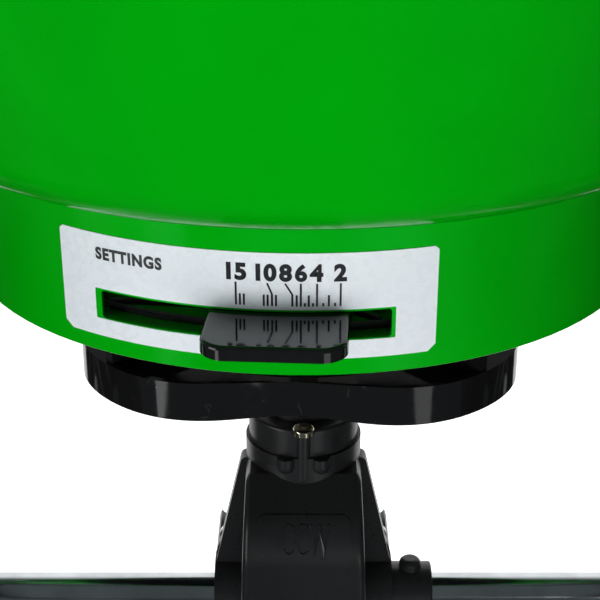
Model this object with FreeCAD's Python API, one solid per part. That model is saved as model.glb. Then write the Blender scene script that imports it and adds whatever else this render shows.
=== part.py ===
# Walk-behind broadcast spreader for seed and fertiliser: a round hopper over a ground-driven
# spinning disc, on two wheels and a rear stand. Millimetres, +X right, +Y forward, +Z up.
# Everything is modelled with the axle in the plane Y = 0 and moved to the part's frame on export.
import FreeCAD, Part
import math
import os

# Layout: heights above the ground, distances from the middle plane and from the axle
wheel_radius = 165.0
wheel_middle = 270.0
frame_half_width = 200.0
skirt_bottom = 343.0
handle_height = 985.0
handle_slope = 47.0
handle_knee = 375.0

# Hopper
skirt_radius = 135.0
skirt_draft = 0.028
skirt_height = 54.4
hopper_wall = 3.0
bowl_foot_radius = 154.0
bowl_rounding = 20.0
rim_radius = 235.0
rim_roll = 6.0
hopper_height = 325.0
floor_underside = 16.6
floor_thickness = 3.4
floor_radius = 98.0
floor_hole_radius = 12.0
port_inner = 45.0
port_outer = 92.0
port_angle = 20.0
port_directions = (46.0, 90.0, 134.0)
lug_half_width = 20.0
lug_reach = 168.0
lug_height = 40.0
lug_thickness = 10.0

# Lever slot and label, at angles from straight back, positive towards the right
slot_left = -30.3
slot_right = 12.2
slot_bottom = 13.3
slot_top = 23.4
ledge_reach = 10.0
label_left = -37.6
label_right = 18.85
label_bottom = 6.4
label_top = 44.2
label_thickness = 0.3
label_low_chamfer = 2.6
label_top_chamfer = 1.2

# Shutter plate with its lever
shutter_bottom = 13.2
shutter_thickness = 3.0
shutter_radius = 128.0
rib_height = 1.2
lever_angle = -3.6
lever_width = 46.9
lever_root = 108.5
lever_reach = 163.0
lever_thickness = 4.8
lever_top = 23.1
lever_step_depth = 8.0
shutter_open_turn = 15.5

# Upright shaft, its bushings and the spinning disc
shaft_radius = 6.35
shaft_bottom = -166.0
shaft_top = 58.0
running_gap = 0.05
disc_mean_radius = 93.1
disc_lobe = 10.2
disc_flatness = 1.5
disc_turn = -2.66
disc_top = -27.7
disc_rim_height = 15.6
disc_wall = 2.5
disc_bead = 1.5
disc_dish_angle = 8.0
fin_height = 12.5
fin_thickness = 4.0
disc_hub_radius = 14.0

# Gear pair: a crown gear on the axle turns a pinion on the upright shaft
gear_module = 1.9
crown_teeth = 36
pinion_teeth = 12
tooth_face_share = 0.75
tooth_fill = 0.37
crown_hub_radius = 13.3
crown_hub_end = 59.3
crown_bolt_x = 49.4

# Gearbox
axle_radius = 7.95
shell_wall = 3.0
flange_half_width = 40.5
flange_thickness = 4.0
collar_radius = 24.0
collar_top = -81.0
collar_bottom = -94.0
case_top = -103.0
case_top_half = 25.0
case_top_depth = 22.0
case_shoulder = -123.0
case_shoulder_radius = 28.0
case_half_width = 27.0
case_knee = -152.0
case_depth = 45.0
case_rounding = 3.0
flange_top = -105.0
flange_top_half = 27.5
flange_knee = -162.0
bulge_top = -144.5
neck_radius = 25.4
panel_half_width = 20.3
panel_top = -114.8
panel_bottom = -137.3
panel_height = 0.5
boss_radius = 3.2
boss_top = -82.8
boss_end = -104.4
boss_point = -110.5
lobe_radius = 3.9
lobe_spread = 7.5
lobe_end = -98.0

# Frame tubes, wheels and fasteners
tube_radius = 12.7
tube_wall = 1.6
handle_tube_radius = 10.9
stand_tube_radius = 11.1
plate_thickness = 4.0
bolt_radius = 4.0
bolt_clearance = 0.2
tyre_half_width = 40.0
bead_radius = 100.0
wheel_hub_half = 38.0
axle_half_length = 322.0
grip_radius = 16.0
grip_length = 236.0

# Places shared by several pieces: bolts, pins, bores and heights
lug_bolt_x = 155.0
lug_bolt_y = 11.0
bushing_neck_radius = 15.8
bushing_top = 27.0
wire_radius = 2.4
agitator_height = 40.0
pin_radius = 2.0
disc_pin_height = -50.0
disc_hub_bottom = -60.0
pinion_pin_height = -134.0
crown_bolt_radius = 3.1
axle_boss_radius = 18.5
axle_bushing_radius = 12.0
collar_screw_y = 22.6
screw_head_radius = 4.7
rib_ends = (((-67.0, -108.5), (-34.0, -112.5)), ((17.0, -118.5), (25.5, -124.5)))
cotter_radius = 1.6
cotter_x = 314.5
drive_pin_radius = 3.0
drive_pin_x = wheel_middle + 30.0
valve_x = 8.0
tube_bottom = 192.0
main_tube_slope = 480.0
brace_distance = 388.0
handle_bolt_distance = 455.0
frame_bolt_heights = (210.0, 244.0, 300.0, 350.0)

# Values that follow from the ones above
axle_height = wheel_radius
crown_pitch_radius = gear_module * crown_teeth / 2
pinion_pitch_radius = gear_module * pinion_teeth / 2
handle_back = (handle_height - handle_knee) / math.tan(math.radians(handle_slope))
forward_shift = (handle_back + grip_radius - rim_radius - rim_roll) / 2
slope_back = math.cos(math.radians(handle_slope))
slope_up = math.sin(math.radians(handle_slope))
leg_reach_back = 255.0
leg_drop = frame_bolt_heights[2] - 22.0
leg_length = math.hypot(leg_reach_back, leg_drop)
leg_back = leg_reach_back / leg_length
leg_down = leg_drop / leg_length
strap_distance = 205.0
stand_half_width = frame_half_width - tube_radius - plate_thickness - 3.0 - stand_tube_radius


# Small helpers ---------------------------------------------------------------------------
def vec(x, y, z):
    return FreeCAD.Vector(x, y, z)


def in_front_plane(a, b):
    """A point of an outline seen from the front: across, height."""
    return vec(a, 0, b)


def in_side_plane(a, b):
    """A point of an outline seen from the side: forward, height."""
    return vec(0, a, b)


def in_top_plane(a, b):
    """A point of an outline seen from above: across, forward."""
    return vec(a, b, 0)


def rounded_wire(corners, place):
    """A closed outline. Each corner is (a, b) or (a, b, radius)."""
    points = [place(c[0], c[1]) for c in corners]
    radii = [c[2] if len(c) > 2 else 0.0 for c in corners]
    count = len(points)
    edges = []
    starts = []
    ends = []
    for i in range(count):
        back = (points[i - 1] - points[i]).normalize()
        ahead = (points[(i + 1) % count] - points[i]).normalize()
        half = back.getAngle(ahead) / 2
        setback = radii[i] / math.tan(half) if radii[i] else 0.0
        start = points[i] + back * setback
        end = points[i] + ahead * setback
        if radii[i]:
            bisector = (back + ahead).normalize()
            middle = points[i] + bisector * (radii[i] / math.sin(half) - radii[i])
            edges.append(Part.Arc(start, middle, end).toShape())
        starts.append(start)
        ends.append(end)
    for i in range(count):
        here = ends[i]
        there = starts[(i + 1) % count]
        if (there - here).Length > 1e-6:
            edges.append(Part.LineSegment(here, there).toShape())
    return Part.Wire(Part.__sortEdges__(edges))


def slab(corners, place, direction):
    """An outline pushed along a direction."""
    return Part.Face(rounded_wire(corners, place)).extrude(direction)


def turned(corners, axis):
    """An outline in the front plane turned about Z, or about X through the origin."""
    return Part.Face(rounded_wire(corners, in_front_plane)).revolve(vec(0, 0, 0), axis, 360)


def moved(shape, x=0.0, y=0.0, z=0.0):
    copy = shape.copy()
    copy.translate(vec(x, y, z))
    return copy


def spun(shape, degrees, axis=vec(0, 0, 1), centre=vec(0, 0, 0)):
    copy = shape.copy()
    copy.rotate(centre, axis, degrees)
    return copy


def mirrored(shape):
    """The same piece on the other side of the machine."""
    return shape.mirror(vec(0, 0, 0), vec(1, 0, 0))


def rod_x(radius, start, end, y, z):
    return Part.makeCylinder(radius, end - start, vec(start, y, z), vec(1, 0, 0))


def rod_y(radius, start, end, x, z):
    return Part.makeCylinder(radius, end - start, vec(x, start, z), vec(0, 1, 0))


def rod_z(radius, start, end, x=0.0, y=0.0):
    return Part.makeCylinder(radius, end - start, vec(x, y, start), vec(0, 0, 1))


def block(x0, x1, y0, y1, z0, z1):
    return Part.makeBox(x1 - x0, y1 - y0, z1 - z0, vec(x0, y0, z0))


def ring_z(outer, inner, bottom, top):
    return rod_z(outer, bottom, top).cut(rod_z(inner, bottom - 1, top + 1))


def ring_x(outer, inner, start, end, y, z):
    return rod_x(outer, start, end, y, z).cut(rod_x(inner, start - 1, end + 1, y, z))


def joined(shapes):
    return shapes[0].multiFuse(shapes[1:]).removeSplitter()


def route(points, bend):
    """A line through the points with its corners rounded by arcs of one radius."""
    edges = []
    here = points[0]
    for i in range(1, len(points) - 1):
        back = (points[i - 1] - points[i]).normalize()
        ahead = (points[i + 1] - points[i]).normalize()
        half = back.getAngle(ahead) / 2
        start = points[i] + back * (bend / math.tan(half))
        end = points[i] + ahead * (bend / math.tan(half))
        middle = points[i] + (back + ahead).normalize() * (bend / math.sin(half) - bend)
        edges.append(Part.LineSegment(here, start).toShape())
        edges.append(Part.Arc(start, middle, end).toShape())
        here = end
    edges.append(Part.LineSegment(here, points[-1]).toShape())
    return Part.Wire(edges)


def swept(points, bend, radius):
    """A round bar along a route."""
    line = route(points, bend)
    direction = points[1] - points[0]
    circle = Part.Circle(points[0], direction, radius)
    return line.makePipeShell([Part.Wire([circle.toShape()])], True, False)


def tube(points, bend, radius, wall):
    return swept(points, bend, radius).cut(swept(points, bend, radius - wall))


def hexagon_x(across_flats, start, end, y, z):
    """A hexagonal prism along X."""
    corner = across_flats / math.sqrt(3)
    angles = [math.radians(60 * i) for i in range(6)]
    outline = [(y + corner * math.cos(a), z + corner * math.sin(a)) for a in angles]
    return moved(slab(outline, in_side_plane, vec(end - start, 0, 0)), x=start)


def hexagon_z(across_flats, bottom, top, x, y):
    corner = across_flats / math.sqrt(3)
    angles = [math.radians(60 * i) for i in range(6)]
    outline = [(x + corner * math.cos(a), y + corner * math.sin(a)) for a in angles]
    return moved(slab(outline, in_top_plane, vec(0, 0, top - bottom)), z=bottom)


def sector(inner, outer, start, end, bottom, top):
    """A slice of a ring about Z, between two directions in degrees from +X."""
    outline = [(inner, bottom), (outer, bottom), (outer, top), (inner, top)]
    face = Part.Face(rounded_wire(outline, in_front_plane))
    piece = face.revolve(vec(0, 0, 0), vec(0, 0, 1), end - start)
    return spun(piece, start)


def from_back(angle):
    """Degrees from +X of a direction given from straight back, positive to the right."""
    return angle - 90.0


def skirt_radius_at(height):
    return skirt_radius + skirt_draft * height


def slot_side(angle):
    """How far across the middle a direction meets the skirt."""
    radius = skirt_radius_at((slot_bottom + slot_top) / 2)
    return radius * math.sin(math.radians(angle))


nodes = {}


def keep(name, *solids):
    """Records a finished piece, or a group of identical pieces."""
    nodes[name] = solids


# Hopper ----------------------------------------------------------------------------------
def hopper_section():
    """Half of the hopper's section: skirt, overhanging bowl, rolled rim, and the sloping floor inside."""
    skirt_top = skirt_radius_at(skirt_height)
    inner = skirt_radius - hopper_wall
    floor_top = floor_underside + floor_thickness
    return [
        (skirt_radius, 0.0, 0.8),
        (skirt_top, skirt_height, 1.0),
        (bowl_foot_radius, skirt_height, bowl_rounding),
        (rim_radius - hopper_wall, hopper_height - 15.0, 4.0),
        (rim_radius + rim_roll, hopper_height - 12.0, 2.0),
        (rim_radius + rim_roll, hopper_height, 4.5),
        (rim_radius - 5.5, hopper_height, 3.0),
        (bowl_foot_radius - 2.1, skirt_height + 3.4, bowl_rounding - hopper_wall),
        (skirt_radius + 1.0, skirt_height + 2.6, 5.0),
        (floor_radius, floor_top, 8.0),
        (floor_hole_radius, floor_top),
        (floor_hole_radius, floor_underside),
        (floor_radius + 1.5, floor_underside, 8.0),
        (inner + 0.5, skirt_height - 11.0, 4.0),
        (inner, 0.0, 0.8),
    ]


def mounting_lug():
    """A solid ear on the skirt's right side, under the lip, with two bolt holes."""
    ear = block(skirt_radius - 1.0, lug_reach, -lug_half_width, lug_half_width,
                lug_height, lug_height + lug_thickness)
    tip_edges = [e for e in ear.Edges if abs(e.CenterOfMass.x - lug_reach) < 0.1]
    ear = ear.makeFillet(5.0, [e for e in tip_edges if e.Length < lug_thickness + 1])
    for side in (-1, 1):
        ear = ear.cut(rod_z(bolt_radius + bolt_clearance, 0, 100, lug_bolt_x, side * lug_bolt_y))
    return ear


def slot_cutter(left, right, below, above, corner):
    """The lever slot, larger by a margin on each side, with rounded corners."""
    outline = [
        (slot_side(slot_left) - left, slot_bottom - below, corner),
        (slot_side(slot_right) + right, slot_bottom - below, corner),
        (slot_side(slot_right) + right, slot_top + above, corner),
        (slot_side(slot_left) - left, slot_top + above, corner),
    ]
    cutter = slab(outline, in_front_plane, vec(0, -60, 0))
    return moved(cutter, y=-100)


def make_hopper():
    body = turned(hopper_section(), vec(0, 0, 1))
    ledge_bottom = slot_bottom - 3.2
    ledge_top = slot_bottom - 0.4
    ledge_outer = skirt_radius - 1.0
    ledge_inner = skirt_radius - ledge_reach
    ledges = [
        sector(ledge_inner, ledge_outer, from_back(slot_left - 2), from_back(slot_right + 2),
               ledge_bottom, ledge_top),
        sector(ledge_inner, ledge_outer, 24.0, 40.0, ledge_bottom, ledge_top),
        sector(ledge_inner, ledge_outer, 140.0, 156.0, ledge_bottom, ledge_top),
    ]
    body = joined([body, mounting_lug(), mirrored(mounting_lug())] + ledges)
    body = body.cut(slot_cutter(0.0, 0.0, 0.0, 0.0, 1.2))
    for direction in port_directions:
        start = direction - port_angle / 2
        port = sector(port_inner, port_outer, start, start + port_angle, 0.0, 30.0)
        body = body.cut(port)
    keep("hopper", moved(body, z=skirt_bottom))


def make_label():
    """A thin self-adhesive label that wraps the skirt around the lever slot."""
    gap = 0.05
    inner_low = skirt_radius_at(label_bottom) + gap
    inner_high = skirt_radius_at(label_top) + gap
    section = [
        (inner_low, label_bottom),
        (inner_low + label_thickness, label_bottom),
        (inner_high + label_thickness, label_top),
        (inner_high, label_top),
    ]
    face = Part.Face(rounded_wire(section, in_front_plane))
    band = spun(face.revolve(vec(0, 0, 0), vec(0, 0, 1), 80), from_back(-45))
    left = skirt_radius * math.sin(math.radians(label_left))
    right = skirt_radius * math.sin(math.radians(label_right))
    low = label_low_chamfer
    top = label_top_chamfer
    outline = [
        (left + low, label_bottom), (right - low, label_bottom), (right, label_bottom + low),
        (right, label_top - top), (right - top, label_top), (left + top, label_top),
        (left, label_top - top), (left, label_bottom + low),
    ]
    window = moved(slab(outline, in_front_plane, vec(0, -90, 0)), y=-70)
    label = band.common(window).cut(slot_cutter(2.1, 1.3, 0.3, 0.8, 0.4))
    keep("settings_label", moved(label, z=skirt_bottom))


# Shutter ---------------------------------------------------------------------------------
def lever():
    """The flat tab that reaches out through the top of the slot, pointing straight back, on its step."""
    half = lever_width / 2
    bottom = lever_top - lever_thickness
    outline = [
        (-half, -lever_root), (half, -lever_root), (half, -lever_reach, 9.0), (-half, -lever_reach, 9.0),
    ]
    tab = moved(slab(outline, in_top_plane, vec(0, 0, lever_thickness)), z=bottom)
    on_top = [e for e in tab.Edges if abs(e.BoundBox.ZMin - lever_top) < 0.01]
    tab = tab.makeFillet(1.4, [e for e in on_top if e.BoundBox.YMin < -lever_root - 1])
    foot = shutter_bottom + shutter_thickness - 0.5
    step = block(-half, half, -lever_root - lever_step_depth, -lever_root, foot, bottom + 1.0)
    return joined([tab, step])


def plate_rib(start, end):
    """A low straight rib on the shutter plate's top, between two places seen from above."""
    line = vec(end[0] - start[0], end[1] - start[1], 0)
    foot = shutter_bottom + shutter_thickness - 0.5
    bar = block(0, line.Length, -0.6, 0.6, foot, foot + 0.5 + rib_height)
    direction = math.degrees(math.atan2(line.y, line.x))
    return moved(spun(bar, direction), x=start[0], y=start[1])


def make_shutter():
    top = shutter_bottom + shutter_thickness
    disc = rod_z(shutter_radius, shutter_bottom, top)
    plate = joined([disc, spun(lever(), lever_angle)] + [plate_rib(*ends) for ends in rib_ends])
    plate = plate.cut(rod_z(bushing_neck_radius + 0.1, 0, 40))
    for direction in port_directions:
        start = direction - port_angle / 2 + shutter_open_turn
        plate = plate.cut(sector(port_inner, port_outer, start, start + port_angle, 0, 40))
    keep("shutter_plate", moved(plate, z=skirt_bottom))


def make_floor_bushing():
    flange_top = shutter_bottom - 0.2
    flange = rod_z(24.0, flange_top - 2.5, flange_top)
    neck = rod_z(bushing_neck_radius, flange_top, floor_underside)
    sleeve = rod_z(floor_hole_radius, floor_underside, bushing_top)
    bushing = joined([flange, neck, sleeve])
    bushing = bushing.cut(rod_z(shaft_radius + running_gap, 0, 40))
    keep("floor_bushing", moved(bushing, z=skirt_bottom))
    floor_top = floor_underside + floor_thickness
    clip = ring_z(19.0, floor_hole_radius, floor_top, floor_top + 1.5)
    keep("bushing_clip", moved(clip, z=skirt_bottom))


# Upright shaft and what turns with it ------------------------------------------------------
def make_shaft():
    shaft = rod_z(shaft_radius, shaft_bottom, shaft_top)
    rim_edges = [e for e in shaft.Edges if isinstance(e.Curve, Part.Circle)]
    shaft = shaft.makeChamfer(1.0, rim_edges)
    shaft = shaft.cut(rod_x(wire_radius, -20, 20, 0, agitator_height))
    shaft = shaft.cut(rod_x(pin_radius, -20, 20, 0, disc_pin_height))
    shaft = shaft.cut(rod_x(pin_radius, -20, 20, 0, pinion_pin_height))
    keep("impeller_shaft", moved(shaft, z=skirt_bottom))


def make_agitator():
    hub = ring_z(11.0, shaft_radius, bushing_top + 1.5, agitator_height + 9.0)
    hub = hub.cut(rod_x(wire_radius, -20, 20, 0, agitator_height))
    keep("agitator_hub", moved(hub, z=skirt_bottom))
    low = agitator_height
    high = agitator_height + 26.0
    points = [vec(-84, 0, high), vec(-64, 0, low), vec(64, 0, low), vec(84, 0, high)]
    wire = swept(points, 9.0, wire_radius)
    keep("agitator_wire", moved(wire, z=skirt_bottom))


def disc_outline(inset, height):
    """The four-lobed edge of the spinning disc, drawn inwards by an inset."""
    points = []
    for i in range(72):
        angle = math.radians(from_back(5.0 * i))
        lobe = math.radians(4 * (5.0 * i - disc_turn))
        radius = disc_mean_radius - disc_lobe * math.cos(lobe) - disc_flatness * math.cos(2 * lobe) - inset
        points.append(vec(radius * math.cos(angle), radius * math.sin(angle), height))
    curve = Part.BSplineCurve()
    curve.interpolate(points, PeriodicFlag=True)
    return Part.Face(Part.Wire([curve.toShape()]))


def make_disc():
    bottom = disc_top - disc_rim_height
    plate_top = disc_top - disc_bead
    plate_bottom = plate_top - disc_wall
    outer = disc_outline(0.0, bottom).extrude(vec(0, 0, disc_rim_height))
    under = disc_outline(disc_wall, bottom - 1).extrude(vec(0, 0, plate_bottom - bottom + 1))
    above = disc_outline(disc_wall, plate_top).extrude(vec(0, 0, disc_bead + 1))
    valley = disc_mean_radius - disc_lobe - disc_flatness
    relief = turned([
        (0, plate_top), (valley, plate_top), (valley + 9.0, disc_top), (valley + 9.0, 0), (0, 0),
    ], vec(0, 0, 1))
    disc = outer.cut(under).cut(above).cut(relief)
    dish_radius = valley - 4.0
    dish_floor = plate_top - (dish_radius - disc_hub_radius) * math.tan(math.radians(disc_dish_angle))
    dish = turned([
        (0, dish_floor - disc_wall), (disc_hub_radius, dish_floor - disc_wall), (dish_radius, plate_bottom),
        (dish_radius, plate_top), (0, plate_top),
    ], vec(0, 0, 1))
    hollow = turned([
        (0, dish_floor), (disc_hub_radius, dish_floor), (dish_radius, plate_top), (dish_radius, 0), (0, 0),
    ], vec(0, 0, 1))
    disc = disc.fuse(dish).cut(hollow)
    reach = disc_mean_radius + disc_lobe - disc_flatness - disc_wall / 2
    fins = []
    for i in range(4):
        fin = block(disc_hub_radius - 2, reach, -fin_thickness / 2, fin_thickness / 2,
                    dish_floor - 0.5, plate_top + fin_height)
        fins.append(spun(fin, from_back(disc_turn + 45 + 90 * i)))
    hub = rod_z(disc_hub_radius, disc_hub_bottom, plate_top + fin_height + 2)
    ribs = []
    for i in range(8):
        rib = block(disc_hub_radius - 2, disc_mean_radius - disc_lobe - 2.0, -1.0, 1.0,
                    plate_bottom - 7.0, plate_bottom + 0.5)
        ribs.append(spun(rib, from_back(disc_turn + 22.5 + 45 * i)))
    disc = joined([disc, hub] + fins + ribs)
    disc = disc.cut(rod_z(shaft_radius, -100, 0))
    disc = disc.cut(rod_x(pin_radius, -30, 30, 0, disc_pin_height))
    keep("impeller", moved(disc, z=skirt_bottom))
    pin = rod_x(pin_radius, -disc_hub_radius - 2, disc_hub_radius + 2, 0, disc_pin_height)
    keep("impeller_pin", moved(pin, z=skirt_bottom))


# Gears -----------------------------------------------------------------------------------
def bevel_tooth(along, across, outward):
    """One straight tooth that tapers towards the point where both axes meet."""
    length = math.hypot(crown_pitch_radius, pinion_pitch_radius)
    pitch = math.pi * gear_module
    addendum = 0.9 * gear_module
    dedendum = 1.45 * gear_module
    flank = math.tan(math.radians(20))
    tip = pitch * tooth_fill / 2 - addendum * flank
    root = pitch * tooth_fill / 2 + dedendum * flank
    middle = along * length
    corners = [
        middle + outward * addendum + across * tip,
        middle + outward * addendum - across * tip,
        middle - outward * dedendum - across * root,
        middle - outward * dedendum + across * root,
    ]
    large = Part.makePolygon(corners + [corners[0]])
    near = [c * tooth_face_share for c in corners]
    small = Part.makePolygon(near + [near[0]])
    return Part.makeLoft([small, large], True, True)


def root_line(share):
    """Distance along the axis of the crown gear, and from it, of its tooth roots."""
    length = math.hypot(crown_pitch_radius, pinion_pitch_radius)
    dedendum = 1.25 * gear_module
    along = (pinion_pitch_radius + dedendum * crown_pitch_radius / length) * share
    out = (crown_pitch_radius - dedendum * pinion_pitch_radius / length) * share
    return along, out


def make_crown_gear():
    far_along, far_out = root_line(1.0)
    near_along, near_out = root_line(tooth_face_share)
    body = Part.Face(rounded_wire([
        (near_along, axle_radius), (near_along, near_out), (far_along, far_out),
        (far_along + 1.0, far_out + 2.5), (20.0, far_out + 2.5, 1.5), (20.0, crown_hub_radius, 2.0),
        (crown_hub_end, crown_hub_radius, 1.0), (crown_hub_end, axle_radius),
    ], in_front_plane)).revolve(vec(0, 0, 0), vec(1, 0, 0), 360)
    length = math.hypot(crown_pitch_radius, pinion_pitch_radius)
    along = vec(pinion_pitch_radius, 0, crown_pitch_radius) / length
    outward = vec(-crown_pitch_radius, 0, pinion_pitch_radius) / length
    tooth = bevel_tooth(along, vec(0, 1, 0), outward)
    teeth = [spun(tooth, 360.0 / crown_teeth * i, vec(1, 0, 0)) for i in range(crown_teeth)]
    gear = joined([body] + teeth)
    gear = gear.cut(rod_z(crown_bolt_radius, -40, 40, crown_bolt_x, 0))
    keep("crown_gear", moved(gear, z=axle_height))


def make_crown_bolt():
    seat = crown_hub_radius - 1.0
    head_top = seat + 5.2
    head = rod_z(5.0, seat, head_top)
    top_edge = [e for e in head.Edges if abs(e.BoundBox.ZMin - head_top) < 0.01 and e.Closed]
    head = head.makeFillet(2.8, top_edge)
    shank = rod_z(crown_bolt_radius, -crown_hub_radius - 7, seat)
    bolt = moved(joined([head, shank]), x=crown_bolt_x)
    seat_cut = rod_z(5.1, seat, seat + 4, crown_bolt_x, 0)
    nut = hexagon_z(11.0, -crown_hub_radius - 5.5, -crown_hub_radius + 0.5, crown_bolt_x, 0)
    nut_seat = rod_z(7.0, -crown_hub_radius - 2, -crown_hub_radius + 0.5, crown_bolt_x, 0)
    nut = nut.cut(rod_z(crown_bolt_radius, -40, 0, crown_bolt_x, 0))
    gear = nodes["crown_gear"][0].cut(moved(seat_cut, z=axle_height)).cut(moved(nut_seat, z=axle_height))
    keep("crown_gear", gear)
    keep("crown_bolt", moved(bolt, z=axle_height))
    keep("crown_nut", moved(nut, z=axle_height))


def make_pinion():
    length = math.hypot(crown_pitch_radius, pinion_pitch_radius)
    dedendum = 1.25 * gear_module
    far_height = crown_pitch_radius + dedendum * pinion_pitch_radius / length
    far_radius = pinion_pitch_radius - dedendum * crown_pitch_radius / length
    near_height = far_height * tooth_face_share
    near_radius = far_radius * tooth_face_share
    body = Part.Face(rounded_wire([
        (shaft_radius, near_height), (near_radius, near_height), (far_radius, far_height),
        (12.0, far_height + 1.0), (12.0, 50.0, 1.0), (shaft_radius, 50.0),
    ], in_front_plane)).revolve(vec(0, 0, 0), vec(0, 0, 1), 360)
    along = vec(pinion_pitch_radius, 0, crown_pitch_radius) / length
    outward = vec(crown_pitch_radius, 0, -pinion_pitch_radius) / length
    tooth = bevel_tooth(along, vec(0, 1, 0), outward)
    tooth = tooth.cut(rod_z(shaft_radius, 0, 60))
    step = 360.0 / pinion_teeth
    teeth = [spun(tooth, step * (i + 0.5)) for i in range(pinion_teeth)]
    gear = joined([body] + teeth)
    hole = rod_x(pin_radius, -20, 20, 0, pinion_pin_height + skirt_bottom - axle_height)
    gear = gear.cut(hole)
    keep("pinion_gear", moved(gear, z=axle_height))
    pin = rod_x(pin_radius, -11.8, 11.8, 0, pinion_pin_height)
    keep("pinion_pin", moved(pin, z=skirt_bottom))


# Gearbox ---------------------------------------------------------------------------------
def case_outline(inset):
    """The gearbox case seen from the front, its upper corners rounded into shoulders."""
    top = case_top + 2.0 - inset
    low = axle_height - skirt_bottom - case_depth - 3.0 + inset
    return [
        (-case_top_half + inset, top, 7.0 - inset), (case_top_half - inset, top, 7.0 - inset),
        (case_half_width - inset, case_knee, 30.0), (case_half_width - inset, low, 15.0 - inset),
        (-case_half_width + inset, low, 15.0 - inset), (-case_half_width + inset, case_knee, 30.0),
    ]


def case_profile(inset):
    """The gearbox case seen from the side: it widens below the neck to clear the crown gear."""
    depth = case_depth - inset
    top = case_top - inset
    low = axle_height - skirt_bottom - depth
    shoulder = case_shoulder_radius - inset
    return [
        (-case_top_depth + inset, top), (-depth, case_shoulder, shoulder), (-depth, low, depth * 0.8),
        (depth, low, depth * 0.8), (depth, case_shoulder, shoulder), (case_top_depth - inset, top),
    ]


def case(inset):
    from_front = moved(slab(case_outline(inset), in_front_plane, vec(0, 120, 0)), y=-60)
    from_side = moved(slab(case_profile(inset), in_side_plane, vec(120, 0, 0)), x=-60)
    return from_front.common(from_side)


def flange_outline():
    axis = axle_height - skirt_bottom
    low = axis - case_depth - 4.0
    wide = flange_half_width
    return [
        (-flange_top_half, flange_top, 3.0), (flange_top_half, flange_top, 3.0),
        (wide, flange_knee, 6.0), (wide, low, 14.0), (-wide, low, 14.0), (-wide, flange_knee, 6.0),
    ]


def rear_bulge(inset):
    """The wide rounded box behind the flange."""
    axis = axle_height - skirt_bottom
    half = 40.0 - inset
    top = bulge_top - inset
    low = axis - 34.0 + inset
    outline = [(-half, low, 8.0), (half, low, 8.0), (half, top, 14.0 - inset), (-half, top, 14.0 - inset)]
    return slab(outline, in_front_plane, vec(0, 30.0 - inset, 0))


def round_upright_edges(shape, radius):
    """Rounds the edges that run down the sides of the gearbox case."""
    chosen = []
    for edge in shape.Edges:
        box = edge.BoundBox
        beside = abs(box.Center.x) > 15.0 and abs(box.Center.y) > 12.0
        if beside and box.ZLength > 3.0:
            chosen.append(edge)
    return shape.makeFillet(radius, chosen)


def boss_foot(side):
    """The pointed lower end of the post that takes a collar screw."""
    y = side * collar_screw_y
    post = rod_z(boss_radius, boss_end, collar_bottom, 0, y)
    point = Part.makeCone(0.8, boss_radius, boss_end - boss_point, vec(0, y, boss_point))
    return joined([post, point])


def neck_lobe(x):
    """A ball-ended lobe on the neck, beside the screw post."""
    y = lobe_radius * 0.5 - neck_radius
    ball = Part.makeSphere(lobe_radius, vec(x, y, lobe_end))
    return joined([rod_z(lobe_radius, lobe_end, collar_bottom, x, y), ball])


def mark_panel():
    """The slightly raised panel on the front of the case that carries the direction mark."""
    wide = panel_half_width
    corners = ((-wide, panel_bottom), (wide, panel_bottom), (wide, panel_top), (-wide, panel_top))
    outline = [(x, z, 4.0) for x, z in corners]
    return slab(outline, in_front_plane, vec(0, -80, 0)).common(case(-panel_height))


def flange_screw_places():
    axis = axle_height - skirt_bottom
    return [(-34.5, axis + 27.0), (34.5, axis + 27.0), (-34.5, axis - 36.0), (34.5, axis - 36.0)]


def make_gearbox():
    axis = axle_height - skirt_bottom
    front_half = block(-80, 80, -80, 0, -300, 0)
    rear_half = block(-80, 80, 0, 80, -300, 0)
    neck = rod_z(neck_radius, case_shoulder, collar_bottom)
    body = joined([round_upright_edges(case(0.0), case_rounding), neck, mark_panel()])
    cavity = joined([case(shell_wall), rod_z(collar_radius - shell_wall, case_shoulder, collar_bottom)])
    flange = slab(flange_outline(), in_front_plane, vec(0, flange_thickness, 0))
    boss = rod_x(axle_boss_radius, -flange_half_width, flange_half_width, 0, axis)
    shaft_way = rod_z(floor_hole_radius, collar_bottom - 10, collar_bottom + 10)
    hub_way = rod_x(crown_hub_radius + 0.08, 20, 60, 0, axis)
    bushing_way = rod_x(axle_bushing_radius, -60, -20, 0, axis)
    gear_way = rod_x(38.5, -case_half_width + shell_wall, case_half_width - shell_wall, 0, axis)

    front = joined([body.common(front_half), moved(flange, y=-flange_thickness), boss.common(front_half)])
    rear = joined([body.common(rear_half), flange, boss.common(rear_half), rear_bulge(0.0)])
    for cutter in (cavity, shaft_way, hub_way, bushing_way, gear_way):
        front = front.cut(cutter)
        rear = rear.cut(cutter)
    front = joined([front, boss_foot(-1), neck_lobe(-lobe_spread), neck_lobe(lobe_spread)])
    rear = joined([rear, boss_foot(1)])
    for x, z in flange_screw_places():
        front = front.cut(rod_y(1.9, -2.5, 1, x, z))
        rear = rear.cut(rod_y(2.3, -1, 60, x, z))
        rear = rear.cut(rod_y(4.5, flange_thickness + 1.0, 60, x, z))
    for side in (-1, 1):
        hole = rod_z(1.9, boss_end - 1.0, collar_bottom + 1, 0, side * collar_screw_y)
        front = front.cut(hole)
        rear = rear.cut(hole)
    keep("gearbox_front_shell", moved(front, z=skirt_bottom))
    keep("gearbox_rear_shell", moved(rear, z=skirt_bottom))


def screw_post():
    """The post on the front of the collar under its screw head."""
    return rod_z(boss_radius, collar_bottom, boss_top, 0, -collar_screw_y)


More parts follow.
